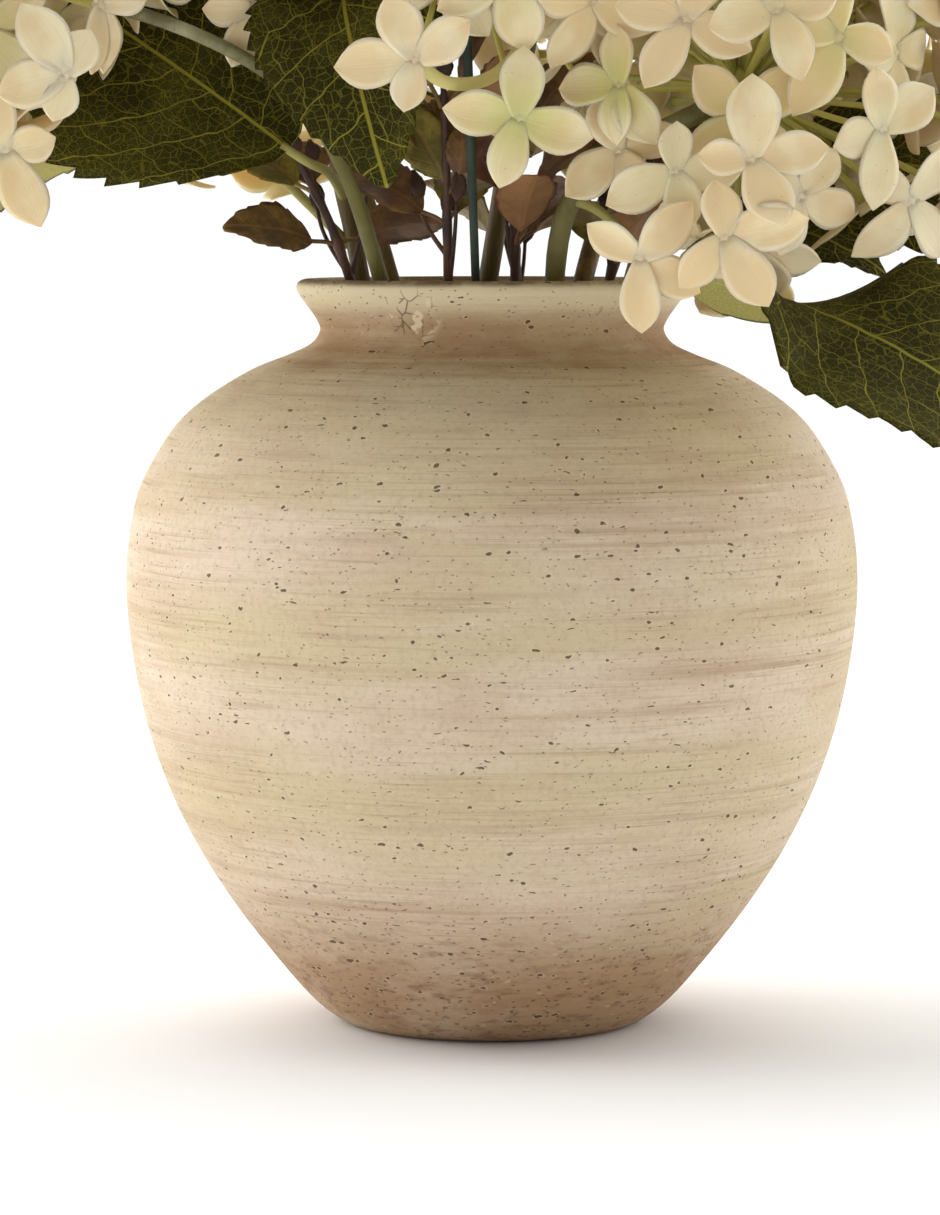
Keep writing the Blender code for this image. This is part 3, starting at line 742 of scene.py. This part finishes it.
def make_sprig_stem(name, path, heights, rng, look):
    """The sprig's stem, swollen where its leaves leave it, with its tip bud and side twigs."""
    swell = sum(np.exp(-((path[:, 2] - h) / 0.0018) ** 2) for h in heights)
    taper = np.interp(path[:, 2], [NECK_Z, 0.25], [1.05, 0.6])
    shape = Shape()
    shape.add_rings(tube(path, SPRIG_STEM_RADIUS * (taper + 0.35 * swell), 14), blade=(0, 0, 0),
                    tone=0.0)
    bud = path[-1] + unit(path[-1] - path[-2]) * 0.008
    add_blade(shape, path[-1], bud, (0.2, -0.9, 0.4), (0.005, 0.0008, 0.4), TIP_BUD_CUT, rng,
              tone=0.0)
    add_side_twigs(shape, path, rng)
    shape.make(f"twig_{name}", look, f"sprig_{name}_stem")


def add_sprig_leaf(shape, path, height, turn, climb, outward, rng, tone):
    """A leaf that points away from the stem and faces up and out of the bunch."""
    point, direction = at_height(path, height)
    out = unit((math.cos(turn), math.sin(turn), climb))
    root = beside(point, direction, point + out, SPRIG_STEM_RADIUS * 0.6)
    base = root + out * (SPRIG_PETIOLE + 0.001)
    facing = (-out[0] * climb, outward * abs(out[0]) - out[1] * climb, 1.0)
    add_small_leaf(shape, root, base, base + out * SPRIG_LEAF_LENGTH, facing,
                   (SPRIG_LEAF_WIDTH, 0.002, 0.25), rng, tone)


def make_sprigs(looks):
    rng = np.random.default_rng(29)
    for name, (neck, tip, pairs) in SPRIGS.items():
        middle = (np.array((*neck, NECK_Z)) + np.array(tip)) / 2 + (0, 0, 0.004)
        path = stem_path(neck, [middle], tip)
        make_sprig_stem(name, path, [pair[0] for pair in pairs], rng, looks["brown_stem"])
        outward = math.copysign(SPRIG_LEAF_TILT, neck[1])
        for pair, (height, *turns, climb) in enumerate(pairs):
            for side, turn in enumerate(np.radians(turns)):
                leaf = 2 * pair + side
                shape = Shape()
                add_sprig_leaf(shape, path, height, turn, climb, outward, rng,
                               SPRIG_TONES[name][leaf])
                if (name, pair) == ("centre", 1):
                    add_upright_leaf(shape, path, UPRIGHT_LEAVES[side])
                shape.make(f"twig_{name}_leaf_{leaf + 1}", looks["brown_leaf"],
                           f"sprig_{name}_leaf_{leaf + 1}")


# ---------------- flower heads

SEPAL_LENGTH = 0.0185
SEPAL_WIDEST = 0.636
SEPAL_ROWS = 11
SEPAL_ACROSS = 9
SEPAL_HALF_THICKNESS = 0.00050
RIM_HEIGHT = 0.00018
PEDICEL_RADIUS = 0.0010
SIDE_STALK_RADIUS = 0.0017

# The filler florets of a head: (how many, how far out as a share of the head's radius).
LAYERS = ((58, 0.90), (34, 0.66))
FEATURED_ROOM = 0.021
CLEAR_MARGIN = 0.012
NEAR_STEM = 0.80
ABOVE_MOUTH, OVER_MOUTH = 0.222, 0.070

# Florets that hang in front, each as (centre, the yaw and pitch that it faces in degrees, its
# sepals as (way it points in degrees, length in millimetres), greenness).
FEATURED = {
    "front": [
        ((-0.0195, -0.118, 0.2587), (-6, -4), ((182, 21), (110, 17.5), (29, 17), (259, 13)), 0.1),
        ((0.0061, -0.112, 0.2446), (2, -6), ((170, 19), (86, 18), (-17, 19.5), (252, 18)), 0.9),
        ((0.0026, -0.115, 0.2795), (4, -8), ((208, 19), (110, 18), (20, 18), (288, 20)), 0.5),
        ((0.0320, -0.085, 0.2371), (-12, -12), ((216, 17), (110, 16), (20, 17), (300, 16)), 0.0),
    ],
    "right_front": [
        ((0.0471, -0.116, 0.2687), (-4, 4), ((165, 18), (70, 18), (-25, 18), (240, 20)), 0.1),
        ((0.0631, -0.122, 0.2344), (4, 0), ((177, 14), (90, 21), (8, 20), (290, 18)), 0.1),
        ((0.0567, -0.119, 0.2154), (4, -10), ((227, 17), (96, 14.5), (18, 21), (302, 21)), 0.15),
        ((0.0364, -0.112, 0.2101), (-10, -12), ((145, 16), (46, 18.5), (-27, 17), (270, 19)), 0.0),
        ((0.0453, -0.107, 0.2314), (-6, 8), ((205, 19.5), (92, 13), (0, 17), (285, 15)), 0.3),
        ((0.0314, -0.098, 0.2531), (-20, 6), ((178, 17), (92, 15), (-62, 17), (265, 15)), 0.9),
        ((0.0848, -0.110, 0.2650), (10, 6), ((245, 22), (100, 18), (-15, 15), (170, 14)), 0.6),
        ((0.0694, -0.116, 0.2706), (2, 8), ((190, 18), (110, 18), (20, 16), (-66, 18)), 0.3),
        ((0.0968, -0.098, 0.2422), (18, 0), ((195, 14), (100, 16), (37, 18), (262, 20.5)), 0.3),
        ((0.1058, -0.085, 0.2243), (26, -8), ((231, 20), (150, 15), (60, 17), (-50, 20)), 0.1),
        ((0.0769, -0.095, 0.2258), (12, -14), ((250, 16), (150, 15), (60, 15), (-22, 18)), 0.1),
        ((0.0660, -0.090, 0.2119), (6, -36), ((200, 16), (110, 14), (-6, 17), (-62, 16)), 0.0),
    ],
    "left": [
        ((-0.1057, -0.110, 0.2552), (8, 0), ((118, 21), (61, 13), (190, 18), (257, 12)), 0.1),
        ((-0.0988, -0.092, 0.2732), (48, -10), ((250, 18), (290, 18), (100, 16), (20, 14)), 0.0),
        ((-0.1224, -0.095, 0.2370), (4, -12), ((200, 18), (110, 18), (20, 13), (290, 21)), 0.2),
    ],
    "left_rear": [
        ((-0.0622, -0.060, 0.2739), (10, -10), ((253, 16), (176, 13), (80, 17), (-8, 15)), 0.0),
    ],
}

# The thick stalk that arches from the front head's lowest floret to the right.
SIDE_STALK = [(-0.0193, -0.1165, 0.2583), (-0.0134, -0.111, 0.2540), (-0.0080, -0.107, 0.2531),
              (-0.0025, -0.103, 0.2542), (0.0027, -0.099, 0.2576), (0.0080, -0.092, 0.2640)]

# Balls of space where leaves and stems show below and between the heads: (centre, radius).
CLEAR = [
    ((-0.072, -0.085, 0.257), 0.030), ((-0.046, -0.100, 0.259), 0.021),
    ((-0.016, -0.085, 0.227), 0.026), ((0.017, -0.080, 0.216), 0.016),
    ((-0.010, -0.090, 0.256), 0.012), ((-0.097, -0.060, 0.226), 0.016),
    ((0.078, -0.062, 0.196), 0.018),
]


def sepal_half_width(u):
    """Half the width of a sepal, as a share of its widest, from its narrow base to its tip."""
    return (0.20 + u ** 0.9) * (1 - u ** 2.9) ** 1.08 / SEPAL_WIDEST


def add_sepal(shape, centre, right, up, out, angle, length, rng, green, chance):
    """One thick, slightly spooned sepal with a raised rim."""
    u = np.linspace(0.02, 0.985, SEPAL_ROWS)
    v = np.linspace(-1, 1, SEPAL_ACROSS)
    half = (0.4 * SEPAL_LENGTH + 0.6 * length) * rng.uniform(0.28, 0.345) * sepal_half_width(u)
    lift, bend = rng.uniform(0.05, 0.30), rng.uniform(-0.45, 0.05)
    spoon, twist = rng.uniform(0.10, 0.34), rng.uniform(-0.30, 0.30)
    sway = rng.uniform(-0.10, 0.10)
    tip_curl = rng.uniform(-0.10, 0.16)
    x = u[:, None] * length + 0 * v[None, :]
    y = half[:, None] * v[None, :] + sway * length * (u ** 2)[:, None]
    z = length * (lift * u + bend * u ** 2 + tip_curl * np.clip(u - 0.7, 0, 1) ** 2 * 4)[:, None]
    dish = spoon * half * np.clip(u / 0.35, 0, 1)
    z = z + dish[:, None] * v[None, :] ** 2 + twist * (u * half)[:, None] * v[None, :]
    z = z + RIM_HEIGHT * np.exp(-((np.abs(v) - 0.84) / 0.15) ** 2)[None, :]
    z = z - RIM_HEIGHT * np.exp(-(v / 0.10) ** 2)[None, :] * (1 - u)[:, None]
    thick = SEPAL_HALF_THICKNESS * np.sqrt(1 - np.abs(v) ** 6)[None, :] * (1 - 0.3 * u)[:, None]
    cos, sin = math.cos(angle), math.sin(angle)
    ahead, across = right * cos + up * sin, up * cos - right * sin

    def placed(height):
        return centre + x[..., None] * ahead + y[..., None] * across + height[..., None] * out

    top, under = placed(z + thick), placed(z - thick)[:, -2:0:-1]
    rings = np.concatenate([top, under], axis=1)
    spot = np.stack([x / length, v[None, :] + 0 * x, chance + 0 * x], axis=-1)
    spots = np.concatenate([spot, spot[:, -2:0:-1]], axis=1)
    tip = centre + ahead * length + across * sway * length + out * z[-1].mean()
    shape.add_rings(rings, end=tip, sepal=spots, green=green)


def add_floret(shape, hub, centre, right, up, out, sepals, green, rng):
    """Four sepals, each (angle, length), round a low boss, on a pedicel that leads to the hub."""
    chance = rng.uniform()
    for k, (angle, length) in enumerate(sepals):
        raised = centre + out * 0.0003 * (k % 2)
        add_sepal(shape, raised, right, up, out, angle, length, rng, green, chance)
    start = hub + (centre - hub) * 0.10
    back = centre - out * 0.010
    path = bezier(start, hub + (centre - hub) * 0.5, back, centre - out * 0.0002, 9)
    radii = np.array([0.9, 0.85, 0.8, 0.8, 0.8, 0.85, 0.95, 1.1, 1.5]) * PEDICEL_RADIUS
    shape.add_rings(tube(path, radii, 8), sepal=(0, 0, chance), green=2.0)
    boss = [centre - out * 0.0003, centre + out * 0.0006, centre + out * 0.0009]
    shape.add_rings(tube(boss, [0.0027, 0.0019, 0.0004], 12), sepal=(0.4, 0, chance), green=green)


def facing_frame(yaw, pitch):
    """The right, up and outward directions of a floret that faces this way, in degrees."""
    yaw, pitch = math.radians(yaw), math.radians(pitch)
    out = np.array([math.sin(yaw) * math.cos(pitch), -math.cos(yaw) * math.cos(pitch),
                    math.sin(pitch)])
    right = np.array([math.cos(yaw), math.sin(yaw), 0.0])
    return right, np.cross(out, right), out


def sepal_look():
    """Cream to peach foam, green towards some florets' centres, with a pale rim and brown specks."""
    look = Look("moulded_sepal", roughness=0.60, specular=0.30)
    spot = look.vector("sepal")
    u, v, chance = (look.part(spot, k) for k in range(3))
    green = look.value("green")
    place = look.object_space()
    rim = look.band(look.size(v), 0.62, 0.98)
    grain = look.noise(look.joined(look.times(u, 1.5), look.times(v, 9.0),
                                   look.times(chance, 37.0)), 1.0, 3.0)
    cloud = look.noise(place, 70.0, 3.0)
    cream, peach = colour(237, 221, 184), colour(225, 199, 155)
    base = look.mix(look.band(look.plus(cloud, look.times(chance, 0.25)),
                              0.45, 0.75), cream, peach)
    base = look.mix(look.band(grain, 0.45, 0.75, 0.0, 0.30), base, colour(222, 200, 166))
    depth = look.times(look.band(u, 0.15, 0.85, 1.0, 0.15), look.band(green, 0.0, 1.0))
    base = look.mix(look.times(depth, 0.80), base, colour(196, 192, 112))
    base = look.mix(look.times(rim, 0.30), base, colour(246, 236, 214))
    stalk = look.band(green, 1.4, 1.6)
    base = look.mix(stalk, base, colour(184, 180, 96))
    specks = look.band(look.cells(place, 260.0), 0.035, 0.06, 0.5, 0.0)
    base = look.mix(specks, base, colour(150, 120, 90))
    look.set("Base Color", base)
    look.shader.inputs["Subsurface Weight"].default_value = 0.25
    look.shader.inputs["Subsurface Radius"].default_value = (1.0, 0.6, 0.3)
    look.shader.inputs["Subsurface Scale"].default_value = 0.004
    look.set("Normal", look.bump(look.plus(grain, look.times(cloud, 0.5)),
                                 0.0004, 0.35))
    return look.material


def spread_over_ball(count, turn):
    """Directions evenly spread over a ball."""
    i = np.arange(count) + 0.5
    z = 1 - 2 * i / count
    angle = i * math.pi * (3 - math.sqrt(5)) + turn
    flat = np.sqrt(1 - z * z)
    return np.stack([flat * np.cos(angle), flat * np.sin(angle), z], axis=-1)


def add_hub(shape, hub):
    """The knob in a head's middle, where its pedicels meet."""
    ends = hub - (0, 0, 0.006), hub + (0, 0, 0.006)
    radii = np.array([2, 3.5, 4.4, 4.8, 4.4, 3.4, 1.5]) * MM
    shape.add_rings(tube(bezier(ends[0], hub, hub, ends[1], len(radii)), radii, 12),
                    sepal=(0, 0, 0), green=2.0)


def is_free(spot, name, reach):
    """Whether a filler floret of this head can sit here without hiding or crossing something."""
    def within(centre, distance):
        return np.linalg.norm(spot - np.array(centre)) < distance

    featured = [floret[0] for florets in FEATURED.values() for floret in florets]
    others = [head[0] for other, head in HEADS.items() if other != name]
    return not (any(within(place, FEATURED_ROOM) for place in featured)
                or any(within(place, radius + CLEAR_MARGIN) for place, radius in CLEAR)
                or any(within(place, reach * 0.98) for place in others)
                or (spot[2] < ABOVE_MOUTH and math.hypot(spot[0], spot[1]) < OVER_MOUTH))


def add_filler_florets(shape, name, hub, radius, turn, rng):
    below = unit(head_stem_path(name)[-2] - hub)
    for layer, (count, depth) in enumerate(LAYERS):
        for way in spread_over_ball(count, turn + 2.4 * layer):
            way = unit(way + rng.normal(0, 0.10, 3))
            if way.dot(below) > NEAR_STEM:
                continue
            reach = radius * depth * rng.uniform(0.93, 1.05)
            spot = hub + way * reach
            if not is_free(spot, name, reach):
                continue
            out = unit(way + rng.normal(0, 0.16, 3))
            right = unit(np.cross(out, (0.3, 0.2, 1.0)))
            roll = rng.uniform(0, math.tau)
            angles = roll + np.arange(4) * math.pi / 2 + rng.normal(0, 0.10, 4)
            lengths = SEPAL_LENGTH * rng.uniform(0.86, 1.08, 4)
            green = max(0.0, rng.normal(0.30, 0.32))
            add_floret(shape, hub, spot, right, np.cross(out, right), out,
                       list(zip(angles, lengths)), green, rng)


def make_heads(looks):
    for index, (name, (centre, radius, *_)) in enumerate(HEADS.items()):
        rng = np.random.default_rng(100 + index)
        hub = np.array(centre)
        shape = Shape()
        add_hub(shape, hub)
        for place, (yaw, pitch), sepals, green in FEATURED.get(name, []):
            right, up, out = facing_frame(yaw, pitch)
            ways = [(math.radians(way), length * MM) for way, length in sepals]
            add_floret(shape, hub, np.array(place), right, up, out, ways, green, rng)
        if name == "front":
            arch = curve_through(SIDE_STALK, 6)
            shape.add_rings(tube(arch, SIDE_STALK_RADIUS, 12), sepal=(0.1, 0, 0.5), green=0.9)
        add_filler_florets(shape, name, hub, radius, index, rng)
        shape.make(f"bloom_{name}", looks["sepal"], f"head_{name}")


# ---------------- studio


# The camera stands in front, a little above the vase's mouth, and looks slightly down.
CAMERA_PLACE = (-0.006, -1.230, 0.221)
CAMERA_LENS_MM = 133.3
CAMERA_FALL_PER_METRE = 0.08744
FLOOR_REACH = 12.0
FLOOR_WHITE = 0.92


def floor_look():
    look = Look("studio_paper", roughness=0.9, specular=0.1)
    look.shader.inputs["Base Color"].default_value = (FLOOR_WHITE, FLOOR_WHITE, FLOOR_WHITE, 1)
    return look.material


def make_studio():
    scene = bpy.context.scene
    scene.view_settings.view_transform = "Standard"
    camera = bpy.data.objects.new("camera", bpy.data.cameras.new("camera"))
    camera.data.lens = CAMERA_LENS_MM
    camera.location = CAMERA_PLACE
    camera.rotation_euler = (math.radians(90) - math.atan(CAMERA_FALL_PER_METRE), 0, 0)
    scene.collection.objects.link(camera)
    scene.camera = camera

    floor = bpy.data.meshes.new("floor")
    corners = [(x * FLOOR_REACH, y * FLOOR_REACH, 0)
               for x, y in ((-1, -1), (1, -1), (1, 1), (-1, 1))]
    floor.from_pydata(corners, [], [(0, 1, 2, 3)])
    floor.materials.append(floor_look())
    sweep = bpy.data.objects.new("floor", floor)
    scene.collection.objects.link(sweep)

    add_area("key_left", (-1.5, 0.35, 0.70), (0, 0, 0.16), 1.5, 20)
    add_area("fill_right", (1.7, 0.6, 0.6), (0, 0, 0.2), 1.5, 12)
    above = bpy.data.lights.new("above", "SUN")
    above.energy = 1.5
    above.angle = math.radians(70)
    lamp = bpy.data.objects.new("above", above)
    lamp.rotation_euler = (math.radians(-14), 0, 0)
    scene.collection.objects.link(lamp)

    # A bright backdrop behind the vase and a dimmer room in front of it.
    world = bpy.data.worlds.new("studio")
    scene.world = world
    world.use_nodes = True
    nodes, links = world.node_tree.nodes, world.node_tree.links
    place, parts = nodes.new("ShaderNodeTexCoord"), nodes.new("ShaderNodeSeparateXYZ")
    ramp = nodes.new("ShaderNodeMapRange")
    for socket, value in (("From Min", -0.5), ("From Max", 0.5), ("To Min", 0.44), ("To Max", 1.04)):
        ramp.inputs[socket].default_value = value
    links.new(place.outputs["Generated"], parts.inputs[0])
    links.new(parts.outputs["Y"], ramp.inputs["Value"])
    links.new(ramp.outputs["Result"], nodes["Background"].inputs["Strength"])
    nodes["Background"].inputs["Color"].default_value = (1, 1, 1, 1)


def add_area(name, place, target, size, power):
    """A square lamp that faces the target."""
    data = bpy.data.lights.new(name, "AREA")
    data.shape = "SQUARE"
    data.size = size
    data.energy = power
    lamp = bpy.data.objects.new(name, data)
    lamp.location = place
    away = np.array(place) - np.array(target)
    flat = math.hypot(away[0], away[1])
    lamp.rotation_euler = (math.atan2(flat, away[2]), 0, math.atan2(away[0], -away[1]))
    bpy.context.scene.collection.objects.link(lamp)


def main():
    looks = {"leaf": leaf_look(), "brown_leaf": sprig_leaf_look(), "sepal": sepal_look()}
    for name, colours in STEM_COLOURS.items():
        looks[name] = stem_look(name, *(colour(*c) for c in colours))
    make_vase()
    make_stems(looks)
    make_leaves(looks)
    make_sprigs(looks)
    make_heads(looks)
    make_studio()


main()
